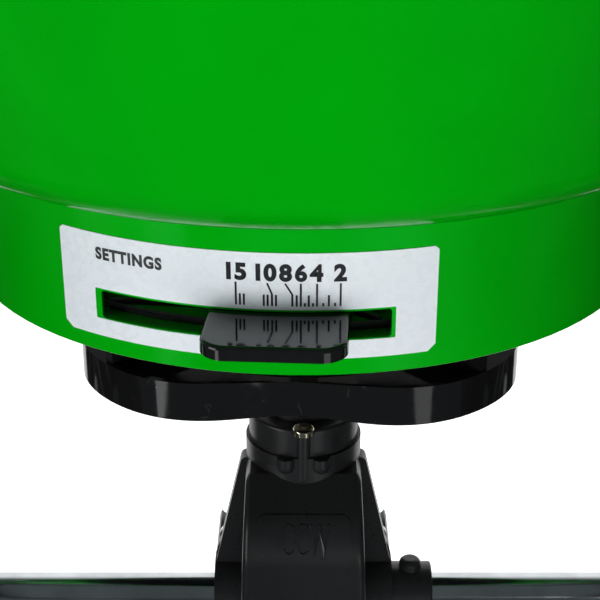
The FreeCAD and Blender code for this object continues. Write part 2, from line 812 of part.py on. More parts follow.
def make_collar():
    collar = rod_z(collar_radius, collar_bottom, collar_top)
    top_edge = [e for e in collar.Edges if abs(e.BoundBox.ZMin - collar_top) < 0.01 and e.Closed]
    collar = collar.makeFillet(1.2, top_edge)
    collar = joined([collar, screw_post(), spun(screw_post(), 180)])
    collar = collar.cut(rod_z(floor_hole_radius, collar_bottom - 1, collar_top + 2))
    for side in (-1, 1):
        hole = rod_z(2.3, collar_bottom - 1, collar_top + 3, 0, side * collar_screw_y)
        seat = rod_z(screw_head_radius + 0.2, boss_top, collar_top + 3, 0, side * collar_screw_y)
        collar = collar.cut(hole).cut(seat)
    keep("gearbox_collar", moved(collar, z=skirt_bottom))
    bushing = joined([
        rod_z(floor_hole_radius, collar_bottom - 3, collar_top),
        rod_z(16.0, collar_top, collar_top + 2.5),
    ])
    bushing = bushing.cut(rod_z(shaft_radius + running_gap, -150, 0))
    keep("shaft_bushing", moved(bushing, z=skirt_bottom))
    screws = []
    for side in (-1, 1):
        head = rod_z(screw_head_radius, boss_top, boss_top + 3.0)
        rounded = [e for e in head.Edges if abs(e.BoundBox.ZMin - boss_top - 3.0) < 0.01 and e.Closed]
        head = head.makeFillet(1.2, rounded)
        recess = hexagon_z(4.0, boss_top + 1.4, boss_top + 4.0, 0, 0)
        screw = joined([head, rod_z(1.9, boss_end, boss_top + 0.5)]).cut(recess)
        screws.append(moved(screw, y=side * collar_screw_y, z=skirt_bottom))
    keep("collar_screws", *screws)


def make_gearbox_screws():
    screws = []
    seat = flange_thickness + 1.0
    for x, z in flange_screw_places():
        head = rod_y(4.0, seat, seat + 2.6, x, z)
        screw = joined([head, rod_y(1.9, -2.5, seat + 0.5, x, z)])
        slot = block(x - 0.6, x + 0.6, seat + 1.4, seat + 5, z - 3, z + 3)
        screws.append(moved(screw.cut(slot), z=skirt_bottom))
    keep("gearbox_screws", *screws)


def make_axle_bushing():
    wall = -case_half_width + shell_wall
    bore = axle_radius + running_gap
    sleeve = ring_x(axle_bushing_radius, bore, -flange_half_width, wall, 0, axle_height)
    flange = ring_x(axle_bushing_radius + 2.5, bore, wall, wall + 2.0, 0, axle_height)
    keep("gearbox_bushing", joined([sleeve, flange]))


# Axle and wheels ---------------------------------------------------------------------------
def make_axle():
    axle = rod_x(axle_radius, -axle_half_length, axle_half_length, 0, axle_height)
    ends = [e for e in axle.Edges if isinstance(e.Curve, Part.Circle)]
    axle = axle.makeChamfer(1.2, ends)
    axle = axle.cut(moved(rod_z(crown_bolt_radius, -20, 20, crown_bolt_x, 0), z=axle_height))
    for side in (-1, 1):
        axle = axle.cut(moved(rod_z(cotter_radius, -20, 20, side * cotter_x, 0), z=axle_height))
    axle = axle.cut(moved(rod_z(drive_pin_radius, -20, 20, -drive_pin_x, 0), z=axle_height))
    keep("axle", axle)


def cotter_pin():
    """A split pin through the axle end: a loop on top and two bent tails below."""
    stem = rod_z(cotter_radius, -axle_radius - 7, axle_radius + 1)
    loop = Part.makeTorus(3.6, 1.2, vec(0, 0, axle_radius + 4.6), vec(1, 0, 0))
    tail = Part.makeCylinder(1.2, 8, vec(0, 0, -axle_radius - 6.4), vec(0, 0.8, -0.6))
    return joined([stem, loop, tail])


def make_axle_hardware():
    pins = [moved(cotter_pin(), x=side * cotter_x, z=axle_height) for side in (-1, 1)]
    keep("axle_cotter_pins", *pins)
    washers = []
    for side in (-1, 1):
        outer_start = wheel_middle + wheel_hub_half + 0.3
        inner_end = wheel_middle - wheel_hub_half - 0.3
        for start in (outer_start, inner_end - 2.0):
            low = min(side * start, side * (start + 2.0))
            washers.append(ring_x(16.0, axle_radius + 0.02, low, low + 2.0, 0, axle_height))
    keep("axle_washers", *washers)
    spacer_start = frame_half_width + tube_radius + plate_thickness + 2.3
    spacer_end = wheel_middle - wheel_hub_half - 2.6
    spacer = ring_x(11.0, axle_radius + 0.02, spacer_start, spacer_end, 0, axle_height)
    keep("axle_spacers", spacer, mirrored(spacer))


def both_sides(right_half):
    """A section across a wheel: its right half, then the same corners mirrored, back to the start."""
    left_half = [(-corner[0],) + tuple(corner[1:]) for corner in reversed(right_half)]
    return right_half + left_half


def rim_section():
    half = 31.0
    seat = bead_radius
    return both_sides([
        (half - 6.0, seat - 9.0, 4.0), (half - 3.0, seat - 5.0, 2.0), (half, seat - 5.0),
        (half, seat + 7.0, 1.4), (half - 3.0, seat + 7.0, 1.4), (half - 3.0, seat, 2.0),
        (half - 12.0, seat - 1.0, 4.0), (half - 18.0, seat - 5.5, 4.0),
    ])


def wheel_window():
    """One of the five openings between the spokes."""
    inner = 33.0
    outer = bead_radius - 16.0
    spread = math.radians(25.0)
    outline = [
        (inner * math.sin(-spread * 0.75), inner * math.cos(spread * 0.75), 6.0),
        (outer * math.sin(-spread), outer * math.cos(spread), 12.0),
        (outer * math.sin(spread), outer * math.cos(spread), 12.0),
        (inner * math.sin(spread * 0.75), inner * math.cos(spread * 0.75), 6.0),
    ]
    return moved(slab(outline, in_side_plane, vec(80, 0, 0)), x=-40)


def make_rim(bore):
    barrel = Part.Face(rounded_wire(rim_section(), in_front_plane)).revolve(vec(0, 0, 0), vec(1, 0, 0), 360)
    web = rod_x(bead_radius - 7.0, -4.0, 4.0, 0, 0)
    hub = rod_x(22.0, -wheel_hub_half, wheel_hub_half, 0, 0)
    ends = [e for e in hub.Edges if e.Closed and isinstance(e.Curve, Part.Circle)]
    hub = hub.makeFillet(2.0, ends)
    ribs = []
    for i in range(5):
        rib = block(-13.0, 13.0, -3.5, 3.5, 15.0, bead_radius - 7.0)
        ribs.append(spun(rib, 72.0 * i + 36.0, vec(1, 0, 0)))
    for i in range(5):
        web = web.cut(spun(wheel_window(), 72.0 * i, vec(1, 0, 0)))
    rim = joined([barrel, web, hub] + ribs)
    rim = rim.cut(rod_x(bore, -60, 60, 0, 0))
    return rim.cut(rod_z(4.0, bead_radius - 15.0, bead_radius + 5.0, valve_x, 0))


def tyre_section():
    half = tyre_half_width
    seat = 27.8
    wall = 7.0
    low = bead_radius + 0.2
    return both_sides([
        (half - wall - 8.0, wheel_radius - wall, 14.0), (half - wall, bead_radius + 34.0, 20.0),
        (seat - 7.0, bead_radius + 14.0, 8.0), (seat - 9.0, low, 3.0), (seat, low, 2.6),
        (seat, bead_radius + 8.0, 4.0), (half, bead_radius + 32.0, 26.0), (half, wheel_radius, 12.0),
    ])


def make_tyre():
    face = Part.Face(rounded_wire(tyre_section(), in_front_plane))
    return face.revolve(vec(0, 0, 0), vec(1, 0, 0), 360)


def valve():
    """A rubber valve stem through the rim, with its cap, pointing at the hub."""
    stem = rod_z(3.9, bead_radius - 31.0, bead_radius - 4.0, valve_x, 0)
    foot = rod_z(4.9, bead_radius - 5.3, bead_radius - 3.5, valve_x, 0)
    cap = rod_z(4.6, bead_radius - 35.0, bead_radius - 26.0, valve_x, 0)
    return joined([stem, foot, cap])


def make_wheels():
    drive = spun(make_rim(axle_radius), 180)
    drive = drive.cut(rod_z(drive_pin_radius, -40, 40, wheel_middle - drive_pin_x, 0))
    free = make_rim(axle_radius + running_gap)
    keep("drive_wheel_rim", moved(drive, x=-wheel_middle, z=axle_height))
    keep("free_wheel_rim", moved(free, x=wheel_middle, z=axle_height))
    keep("drive_wheel_tyre", moved(make_tyre(), x=-wheel_middle, z=axle_height))
    keep("free_wheel_tyre", moved(make_tyre(), x=wheel_middle, z=axle_height))
    keep("drive_wheel_valve", moved(spun(valve(), 180), x=-wheel_middle, z=axle_height))
    keep("free_wheel_valve", moved(valve(), x=wheel_middle, z=axle_height))
    pin = rod_z(drive_pin_radius, -27, 27)
    head = rod_z(6.0, 27, 31)
    keep("drive_wheel_pin", moved(joined([pin, head]), x=-drive_pin_x, z=axle_height))


# Frame -------------------------------------------------------------------------------------
def along_slope(distance, x):
    """A point on the sloping handle line, a distance up from the knee."""
    return vec(x, -distance * slope_back, handle_knee + distance * slope_up)


def make_main_tubes():
    points = [vec(frame_half_width, 0, tube_bottom), vec(frame_half_width, 0, handle_knee),
              along_slope(main_tube_slope, frame_half_width)]
    body = tube(points, 120.0, tube_radius, tube_wall)
    for height in frame_bolt_heights:
        body = body.cut(rod_x(bolt_radius + bolt_clearance, 170, 230, 0, height))
    for distance in (brace_distance, handle_bolt_distance):
        place = along_slope(distance, 0)
        body = body.cut(rod_x(bolt_radius + bolt_clearance, 170, 230, place.y, place.z))
    keep("main_tube_right", body)
    keep("main_tube_left", mirrored(body))


def make_handle():
    top = (handle_height - handle_knee) / slope_up
    start = main_tube_slope - 74.0
    half = frame_half_width
    corners = ((start, -half), (top, -half), (top, half), (start, half))
    points = [along_slope(distance, x) for distance, x in corners]
    body = tube(points, 75.0, handle_tube_radius, tube_wall)
    place = along_slope(handle_bolt_distance, 0)
    body = body.cut(rod_x(bolt_radius + bolt_clearance, -230, 230, place.y, place.z))
    keep("handle_bar", body)
    centre = along_slope(top, 0)
    grip = ring_x(grip_radius, handle_tube_radius, -grip_length / 2, grip_length / 2, centre.y, centre.z)
    ends = [e for e in grip.Edges if e.Closed and abs(e.Length - 2 * math.pi * grip_radius) < 1]
    keep("handle_grip", grip.makeFillet(3.0, ends))


def make_handle_fasteners():
    place = along_slope(handle_bolt_distance, 0)
    outer = frame_half_width + tube_radius
    inner = frame_half_width - tube_radius
    bolt = joined([
        rod_x(bolt_radius, inner - 1.0, outer + 12.0, place.y, place.z),
        rod_x(9.0, inner - 5.0, inner - 0.5, place.y, place.z),
    ])
    keep("handle_bolts", bolt, mirrored(bolt))
    lobes = [rod_x(7.0, outer + 5.0, outer + 17.0, place.y + 11 * math.cos(math.radians(a)),
                   place.z + 11 * math.sin(math.radians(a))) for a in (90, 210, 330)]
    knob = joined([rod_x(12.0, outer + 5.0, outer + 17.0, place.y, place.z),
                   rod_x(9.0, outer + 0.5, outer + 6.0, place.y, place.z)] + lobes)
    knob = knob.cut(rod_x(bolt_radius, outer, outer + 12.0, place.y, place.z))
    keep("handle_knobs", knob, mirrored(knob))


def make_cross_brace():
    place = along_slope(brace_distance, 0)
    inner = frame_half_width - tube_radius
    body = rod_x(9.5, -inner, inner, place.y, place.z)
    body = body.cut(rod_x(7.7, -inner + 22, inner - 22, place.y, place.z))
    for side in (-1, 1):
        start = min(side * (inner - 20), side * (inner + 1))
        body = body.cut(rod_x(bolt_radius, start, start + 21, place.y, place.z))
    keep("cross_brace", body)
    outer = frame_half_width + tube_radius
    bolt = joined([
        rod_x(bolt_radius, inner - 16, outer + 1, place.y, place.z),
        hexagon_x(13.0, outer + 0.3, outer + 5.6, place.y, place.z),
    ])
    keep("brace_bolts", bolt, mirrored(bolt))


def make_axle_brackets():
    """Folded plates that clasp the tube ends and carry the axle bearings."""
    inner = frame_half_width - tube_radius
    outer = frame_half_width + tube_radius
    cheek = [(-22.0, 138.0, 16.0), (22.0, 138.0, 16.0), (16.7, 262.0, 4.0), (-18.0, 262.0, 4.0)]
    inside = moved(slab(cheek, in_side_plane, vec(plate_thickness, 0, 0)), x=inner - plate_thickness)
    outside = moved(slab(cheek, in_side_plane, vec(plate_thickness, 0, 0)), x=outer)
    web = block(inner - 1, outer + 1, tube_radius, tube_radius + plate_thickness, 195.0, 258.0)
    bracket = joined([inside, outside, web])
    bracket = bracket.cut(rod_x(axle_bushing_radius, 160, 240, 0, axle_height))
    for height in frame_bolt_heights[:2]:
        bracket = bracket.cut(rod_x(bolt_radius + bolt_clearance, 160, 240, 0, height))
    keep("axle_bracket_right", bracket)
    keep("axle_bracket_left", mirrored(bracket))
    start = inner - plate_thickness
    end = outer + plate_thickness
    bearing = joined([
        rod_x(axle_bushing_radius, start, end, 0, axle_height),
        rod_x(17.0, start - 2.0, start, 0, axle_height),
        rod_x(15.5, end, end + 2.0, 0, axle_height),
    ])
    bearing = bearing.cut(rod_x(axle_radius + running_gap, 160, 240, 0, axle_height))
    keep("axle_bearing_right", bearing)
    keep("axle_bearing_left", mirrored(bearing))


def make_hopper_brackets():
    inner = frame_half_width - tube_radius
    top = skirt_bottom + lug_height
    low = frame_bolt_heights[2] - 16.0
    upright = block(inner - plate_thickness, inner, -lug_half_width, lug_half_width, low, top)
    shelf = block(142.0, inner, -lug_half_width, lug_half_width, top - plate_thickness, top)
    bracket = joined([upright, shelf])
    outer_edges = [e for e in bracket.Edges if abs(e.BoundBox.Center.x - inner) < 0.1]
    fold = [e for e in outer_edges if abs(e.BoundBox.Center.z - top) < 0.1]
    bracket = bracket.makeFillet(3.0, fold)
    for height in frame_bolt_heights[2:]:
        bracket = bracket.cut(rod_x(bolt_radius + bolt_clearance, 160, 240, 0, height))
    for side in (-1, 1):
        bracket = bracket.cut(rod_z(bolt_radius + bolt_clearance, 300, 500, lug_bolt_x, side * lug_bolt_y))
    keep("hopper_bracket_right", bracket)
    keep("hopper_bracket_left", mirrored(bracket))


def make_hopper_bolts():
    """Four upright bolts through the hopper's ears, heads on top, nuts under the brackets."""
    top = skirt_bottom + lug_height + lug_thickness
    under = skirt_bottom + lug_height - plate_thickness
    bolts = []
    nuts = []
    for x in (-lug_bolt_x, lug_bolt_x):
        for y in (-lug_bolt_y, lug_bolt_y):
            head = hexagon_z(11.0, top, top + 2.8, x, y)
            shank = rod_z(bolt_radius, under - 9.0, top + 0.5, x, y)
            bolts.append(joined([head, shank]))
            nut = hexagon_z(13.0, under - 6.5, under, x, y)
            nuts.append(nut.cut(rod_z(bolt_radius, under - 20, under + 5, x, y)))
    keep("hopper_bolts", *bolts)
    keep("hopper_nuts", *nuts)


def stand_point(distance, x):
    """A point down the rear leg, measured from its upper bolt."""
    return vec(x, -distance * leg_back, frame_bolt_heights[2] - distance * leg_down)


def make_stand():
    start = -18.0
    half = stand_half_width
    foot = leg_length
    corners = ((start, -half), (foot, -half), (foot, half), (start, half))
    points = [stand_point(distance, x) for distance, x in corners]
    body = tube(points, 48.0, stand_tube_radius, tube_wall)
    for distance in (0.0, strap_distance):
        place = stand_point(distance, 0)
        body = body.cut(rod_x(bolt_radius + bolt_clearance, -200, 200, place.y, place.z))
    keep("rear_stand", body)
    low = stand_point(foot, 0)
    feet = []
    for x in (-85.0, 85.0):
        pad = block(x - 25, x + 25, low.y - 18, low.y + 18, 0, low.z + 3.0)
        upright = [e for e in pad.Edges if e.BoundBox.ZLength > 15]
        pad = pad.makeFillet(6.0, upright)
        feet.append(pad.cut(rod_x(stand_tube_radius, x - 30, x + 30, low.y, low.z)))
    keep("stand_feet", *feet)


def make_stand_straps():
    """Flat straps that tie the legs to the lower bolts of the axle brackets."""
    thick = 3.0
    outer = frame_half_width - tube_radius - plate_thickness
    leg = stand_point(strap_distance, 0)
    near = vec(0, 0, frame_bolt_heights[0])
    far = vec(0, leg.y, leg.z)
    line = far - near
    bar = block(outer - thick, outer, -11.0, 11.0, 0, line.Length)
    round_ends = [rod_x(11.0, outer - thick, outer, 0, z) for z in (0, line.Length)]
    ends = joined([bar] + round_ends)
    for z in (0, line.Length):
        ends = ends.cut(rod_x(bolt_radius + bolt_clearance, 160, 240, 0, z))
    lean = math.degrees(math.atan2(-line.y, line.z))
    strap = moved(spun(ends, lean, vec(1, 0, 0)), z=near.z)
    keep("stand_strap_right", strap)
    keep("stand_strap_left", mirrored(strap))


def cross_bolt(start, end, y, z):
    """A bolt along X: its head at the inner end, and a nut at the outer end."""
    head = hexagon_x(13.0, start - 5.3, start, y, z)
    bolt = joined([head, rod_x(bolt_radius, start - 1, end + 9, y, z)])
    nut = hexagon_x(13.0, end, end + 6.5, y, z).cut(rod_x(bolt_radius, end - 1, end + 10, y, z))
    return bolt, nut


def make_frame_bolts():
    inner = frame_half_width - tube_radius
    outer = frame_half_width + tube_radius
    plate = inner - plate_thickness
    far_plate = outer + plate_thickness
    leg_inner = stand_half_width - stand_tube_radius
    leg_outer = stand_half_width + stand_tube_radius
    leg = stand_point(strap_distance, 0)
    spans = [
        (plate - 3.0, far_plate, 0, frame_bolt_heights[0]),
        (plate, far_plate, 0, frame_bolt_heights[1]),
        (leg_inner, outer, 0, frame_bolt_heights[2]),
        (plate, outer, 0, frame_bolt_heights[3]),
        (leg_inner, plate, leg.y, leg.z),
    ]
    bolts = []
    nuts = []
    for start, end, y, z in spans:
        bolt, nut = cross_bolt(start, end, y, z)
        bolts += [bolt, mirrored(bolt)]
        nuts += [nut, mirrored(nut)]
    keep("frame_bolts", *bolts)
    keep("frame_nuts", *nuts)
    spacer = ring_x(8.0, bolt_radius + bolt_clearance, leg_outer, plate, 0, frame_bolt_heights[2])
    keep("stand_spacers", spacer, mirrored(spacer))


def make_tube_plugs():
    """Plastic plugs in the lower ends of the main tubes."""
    body = joined([
        rod_z(tube_radius - tube_wall, tube_bottom, tube_bottom + 12, frame_half_width, 0),
        rod_z(tube_radius - 0.4, tube_bottom - 2, tube_bottom, frame_half_width, 0),
    ])
    keep("tube_plugs", body, mirrored(body))


def main():
    make_hopper()
    make_label()
    make_shutter()
    make_floor_bushing()
    make_shaft()
    make_agitator()
    make_disc()
    make_crown_gear()
    make_crown_bolt()
    make_pinion()
    make_gearbox()
    make_collar()
    make_gearbox_screws()
    make_axle_bushing()
    make_axle()
    make_axle_hardware()
    make_wheels()
    make_main_tubes()
    make_handle()
    make_handle_fasteners()
    make_cross_brace()
    make_axle_brackets()
    make_hopper_brackets()
    make_hopper_bolts()
    make_stand()
    make_stand_straps()
    make_frame_bolts()
    make_tube_plugs()
    os.makedirs("parts", exist_ok=True)
    for name, solids in nodes.items():
        placed = [moved(s, y=forward_shift) for s in solids]
        whole = placed[0] if len(placed) == 1 else Part.makeCompound(placed)
        whole.exportStep("parts/" + name + ".step")
        box = whole.BoundBox
        print(name, len(whole.Solids), whole.isValid(), round(whole.Volume),
              [round(v, 1) for v in (box.XMin, box.YMin, box.ZMin, box.XMax, box.YMax, box.ZMax)])
    print("axle at y =", round(forward_shift, 4))


main()
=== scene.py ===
"""Looks for the walk-behind broadcast spreader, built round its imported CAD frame. Metres throughout."""
import math

import bmesh
import bpy
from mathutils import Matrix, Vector
from mathutils.bvhtree import BVHTree


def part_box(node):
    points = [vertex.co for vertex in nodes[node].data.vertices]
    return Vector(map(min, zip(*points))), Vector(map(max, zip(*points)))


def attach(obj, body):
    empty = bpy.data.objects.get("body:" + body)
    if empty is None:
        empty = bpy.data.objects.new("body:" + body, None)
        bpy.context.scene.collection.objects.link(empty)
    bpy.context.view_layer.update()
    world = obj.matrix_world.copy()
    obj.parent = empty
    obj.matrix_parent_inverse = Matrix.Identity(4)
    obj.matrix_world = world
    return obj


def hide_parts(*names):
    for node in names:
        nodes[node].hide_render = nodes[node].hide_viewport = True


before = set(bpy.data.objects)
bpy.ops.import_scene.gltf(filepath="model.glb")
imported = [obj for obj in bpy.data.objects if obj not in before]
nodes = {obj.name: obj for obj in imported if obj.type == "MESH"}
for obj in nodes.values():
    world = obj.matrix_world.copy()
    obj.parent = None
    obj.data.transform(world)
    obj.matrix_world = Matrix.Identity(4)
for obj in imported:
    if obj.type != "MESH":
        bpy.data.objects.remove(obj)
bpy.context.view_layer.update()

# Places, read from the frame
axle_low, axle_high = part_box("axle")
axle_y = (axle_low.y + axle_high.y) / 2
axle_z = (axle_low.z + axle_high.z) / 2
skirt_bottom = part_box("hopper")[0].z

# Viewpoint: behind the hopper, looking a little down at the lever and the disc
camera_aside = -0.0015
camera_back = 0.56025
camera_up = 0.2106
camera_pitch = 23.3
camera_lens = 85.8

# The skirt of the hopper, which carries the label
skirt_radius = 0.135
skirt_draft = 0.028
label_skin = 0.00035
print_thickness = 0.00006

# Raised letters on the gearbox's panel
mark_middle = 0.0009
mark_width = 0.0209
mark_height = 0.0131
mark_low = skirt_bottom - 0.1306
mark_relief = 0.0009
mark_sink = 0.0002
mark_weight = 0.004
probe_back = 0.2

# Tyre section: the tread's superellipse, the walls down to the beads, and the hollow inside
tyre_low, tyre_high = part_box("drive_wheel_tyre")
tyre_width = tyre_high.x - tyre_low.x
tyre_radius = 0.165
tyre_widest = 0.134
tyre_squareness = 3.6
tread_points = 25
tread_cover = 0.96
shoulder_points = 6
shoulder_turn = 0.38
wall_points = 12
wall_ridges = 6
wall_ridge = 0.0011
bead_radius = 0.1003
bead_height = 0.006
bead_chamfer = (0.002, 0.001)
bead_width = 0.008
rim_half = 0.0277
side_thickness = 0.007
crown_thickness = 0.004
inside_points = 5
inside_squareness = 0.7
tyre_crease = 38.0

# Tread pattern: two zigzag grooves round the tyre, and slanted cuts across between them and the shoulders
tread_pitches = 36
steps_per_pitch = 12
tread_groove = 0.0045
groove_fade = (0.034, 0.039)
ring_grooves = (0.0085, 0.0215)
ring_edge = (0.0012, 0.0026)
zigzag_reach = 0.0018
inner_slant = -22.0
outer_slant = 14.0
cross_edge = (0.09, 0.17)

# Handle grip
handle_tube_radius = 0.0109
grip_steps = 64
grip_lengths = 96
grip_lip_points = 9
grip_lip = 0.004
grip_lip_back = 0.0015
grip_inset = 0.0002
grip_hold = 0.0006

# Room that the gloss reflects: its colour in front, and how far behind the object it turns white
room_dim = (0.066, 0.078, 0.08, 1.0)
room_turns_white = (0.2, 0.75)

# Floor, and the height that the lights face
floor_size = 60.0
floor_drop = 0.0005
lit_height = 0.36
card_watts = 1.3

# Printed scale: angles from straight back, heights above the skirt's bottom edge
ink_tick_width = 0.00066
tick_foot = 0.0256
long_tick = 0.0337
medium_tick = 0.0296
short_tick = 0.0268
bend_height = 0.0298
scale_numbers = (
    ("15", -9.3, 0.05), ("10", -5.22, 0.05), ("8", -2.58, 0.05),
    ("6", -0.49, 0.045), ("4", 1.6, 0.045), ("2", 4.84, 0.05),
)
numeral_low = 0.0343
numeral_height = 0.0062
long_ticks = (-9.42, -0.52, 1.68, 4.9)
bent_ticks = ((-5.1, -4.45), (-2.65, -1.68))
medium_ticks = (-8.86, -8.31, -5.57, -5.05, -3.9, -1.08, 0.56, 3.3)
short_ticks = (0.03, 1.14, 2.53, 4.15)
caption_angle = -25.3
caption_low = 0.0349
caption_height = 0.0045
caption_width = 0.0251


# Materials -------------------------------------------------------------------------------------
class Shader:
    """A node material under construction, with its texture coordinates in the frame's metres."""

    def __init__(self, name):
        self.material = bpy.data.materials.new(name)
        self.material.use_nodes = True
        self.tree = self.material.node_tree
        self.surface = self.tree.nodes["Principled BSDF"]
        self.place = self.node("ShaderNodeTexCoord").outputs["Object"]

    def node(self, kind, **settings):
        made = self.tree.nodes.new(kind)
        for key, value in settings.items():
            setattr(made, key, value)
        return made

    def link(self, source, target):
        self.tree.links.new(source, target)

    def stretched(self, scale):
        mapping = self.node("ShaderNodeMapping")
        self.link(self.place, mapping.inputs["Vector"])
        mapping.inputs["Scale"].default_value = scale
        return mapping.outputs["Vector"]

    def noise(self, size, detail=3.0, roughness=0.5, vector=None):
        made = self.node("ShaderNodeTexNoise")
        self.link(vector or self.place, made.inputs["Vector"])
        made.inputs["Scale"].default_value = 1.0 / size
        made.inputs["Detail"].default_value = detail
        made.inputs["Roughness"].default_value = roughness
        return made.outputs["Fac"]

    def warped(self, size, reach):
        """The object's coordinates, shifted about by a noise of a given size."""
        shift = self.node("ShaderNodeTexNoise")
        self.link(self.place, shift.inputs["Vector"])
        shift.inputs["Scale"].default_value = 1.0 / size
        scaled = self.node("ShaderNodeVectorMath", operation="SCALE")
        self.link(shift.outputs["Color"], scaled.inputs[0])
        scaled.inputs["Scale"].default_value = reach
        moved = self.node("ShaderNodeVectorMath", operation="ADD")
        self.link(self.place, moved.inputs[0])
        self.link(scaled.outputs["Vector"], moved.inputs[1])
        return moved.outputs["Vector"]

    def cells(self, size, feature="F1", vector=None):
        made = self.node("ShaderNodeTexVoronoi", feature=feature)
        self.link(vector or self.place, made.inputs["Vector"])
        made.inputs["Scale"].default_value = 1.0 / size
        return made.outputs["Distance"]

    def ranged(self, value, low, high, to_low, to_high):
        made = self.node("ShaderNodeMapRange", clamp=True)
        self.link(value, made.inputs["Value"])
        made.inputs["From Min"].default_value = low
        made.inputs["From Max"].default_value = high
        made.inputs["To Min"].default_value = to_low
        made.inputs["To Max"].default_value = to_high
        return made.outputs["Result"]

    def maths(self, operation, first, second):
        made = self.node("ShaderNodeMath", operation=operation)
        self.link(first, made.inputs[0])
        self.link(second, made.inputs[1])
        return made.outputs[0]

    def mixed(self, share, first, second):
        made = self.node("ShaderNodeMix", data_type="RGBA")
        self.link(share, made.inputs["Factor"])
        made.inputs[6].default_value = first + (1.0,)
        made.inputs[7].default_value = second + (1.0,)
        return made.outputs[2]

    def bump(self, height, depth):
        made = self.node("ShaderNodeBump")
        made.inputs["Strength"].default_value = 1.0
        made.inputs["Distance"].default_value = depth
        self.link(height, made.inputs["Height"])
        before = self.surface.inputs["Normal"].links
        if before:
            self.link(before[0].from_socket, made.inputs["Normal"])
        self.link(made.outputs["Normal"], self.surface.inputs["Normal"])

    def colour(self, value):
        self.link(value, self.surface.inputs["Base Color"])

    def roughness(self, value):
        self.link(value, self.surface.inputs["Roughness"])

    def constant(self, **sockets):
        for name, value in sockets.items():
            self.surface.inputs[name.replace("_", " ")].default_value = value


def shades(colour, spread):
    """A darker and a lighter version of a colour."""
    return tuple(c * (1 - spread) for c in colour), tuple(min(1.0, c * (1 + spread)) for c in colour)


def moulded(name, colour, gloss, spread=0.06, grain=0.0007, depth=0.000012, waviness=0.00004):
    """Injection-moulded plastic: slight flow mottling, orange peel, and fine handling marks in the gloss."""
    look = Shader(name)
    dark, light = shades(colour, spread)
    look.colour(look.mixed(look.ranged(look.noise(0.045), 0.35, 0.65, 0.0, 1.0), dark, light))
    marks = look.noise(0.003, 5.0, 0.7, look.stretched((1.0, 0.22, 1.0)))
    look.roughness(look.ranged(marks, 0.35, 0.75, gloss, gloss + 0.09))
    look.bump(look.noise(0.012, 1.0), waviness)
    look.bump(look.noise(grain, 2.0), depth)
    return look


def green_plastic():
    look = moulded("green_plastic", (0.0, 0.385, 0.003), 0.13, 0.035)
    look.constant(Specular_Tint=(0.02, 0.55, 0.12, 1.0), IOR=1.47)
    return look.material


def black_gloss():
    """Shiny black plastic with specks of dust and faint scuff lines."""
    look = moulded("black_gloss", (0.0075, 0.0075, 0.008), 0.045, 0.1, 0.0012, 0.000002, 0.00003)
    specks = look.ranged(look.cells(0.008), 0.025, 0.045, 1.0, 0.0)
    dust = look.maths("MULTIPLY", specks, look.ranged(look.noise(0.03), 0.42, 0.56, 0.0, 0.7))
    bent = look.warped(0.02, 0.012)
    lines = look.ranged(look.cells(0.013, "DISTANCE_TO_EDGE", bent), 0.004, 0.012, 1.0, 0.0)
    scuffs = look.maths("MULTIPLY", lines, look.ranged(look.noise(0.012, 4.0), 0.56, 0.7, 0.0, 0.22))
    worn = look.maths("MAXIMUM", dust, scuffs)
    look.colour(look.mixed(worn, (0.0075, 0.0075, 0.008), (0.17, 0.17, 0.165)))
    look.constant(IOR=1.5)
    return look.material


def black_satin():
    return moulded("black_satin", (0.014, 0.0142, 0.015), 0.27, 0.12, 0.00045, 0.00002, 0.00005).material


def wheel_plastic():
    return moulded("wheel_plastic", (0.03, 0.031, 0.033), 0.38, 0.12, 0.0005, 0.00003).material


def nylon():
    look = moulded("nylon", (0.72, 0.70, 0.64), 0.32, 0.03, 0.0005, 0.00001)
    look.constant(Subsurface_Weight=0.15, Subsurface_Scale=0.004)
    return look.material


def label_vinyl():
    """White vinyl with a satin laminate that lies slightly uneven on the plastic."""
    look = Shader("label_white")
    look.colour(look.mixed(look.noise(0.06, 2.0), (0.77, 0.82, 0.87), (0.80, 0.84, 0.885)))
    look.roughness(look.ranged(look.noise(0.004, 3.0), 0.3, 0.7, 0.22, 0.34))
    look.bump(look.noise(0.03, 1.0), 0.00003)
    return look.material


def printed_ink():
    look = Shader("printed_ink")
    look.colour(look.mixed(look.noise(0.0012, 2.0), (0.010, 0.011, 0.013), (0.022, 0.023, 0.027)))
    look.roughness(look.ranged(look.noise(0.002, 3.0), 0.3, 0.7, 0.25, 0.4))
    look.bump(look.noise(0.0005, 1.0), 0.000008)
    return look.material


def plated(name, colour, gloss, drawn, spread=0.12):
    """Plated or ground metal with fine lines along X where it is drawn, and a patchy brightness."""
    look = Shader(name)
    dark, light = shades(colour, spread)
    look.colour(look.mixed(look.ranged(look.noise(0.02, 4.0), 0.35, 0.65, 0.0, 1.0), dark, light))
    stretch = (0.04, 1.0, 1.0) if drawn else (1.0, 1.0, 1.0)
    lines = look.noise(0.0008, 4.0, 0.65, look.stretched(stretch))
    look.roughness(look.ranged(lines, 0.3, 0.7, gloss, gloss + 0.12))
    look.bump(lines, 0.000006)
    look.constant(Metallic=1.0)
    return look.material


def powder_coat():
    """Black powder coat: a fine pebbled skin with duller rubbed patches."""
    look = Shader("frame_paint")
    look.colour(look.mixed(look.noise(0.05, 4.0), (0.014, 0.014, 0.015), (0.026, 0.026, 0.028)))
    look.roughness(look.ranged(look.noise(0.02, 5.0, 0.65), 0.3, 0.7, 0.26, 0.46))
    look.bump(look.noise(0.0011, 2.0), 0.00006)
    look.constant(Coat_Weight=0.25, Coat_Roughness=0.2)
    return look.material


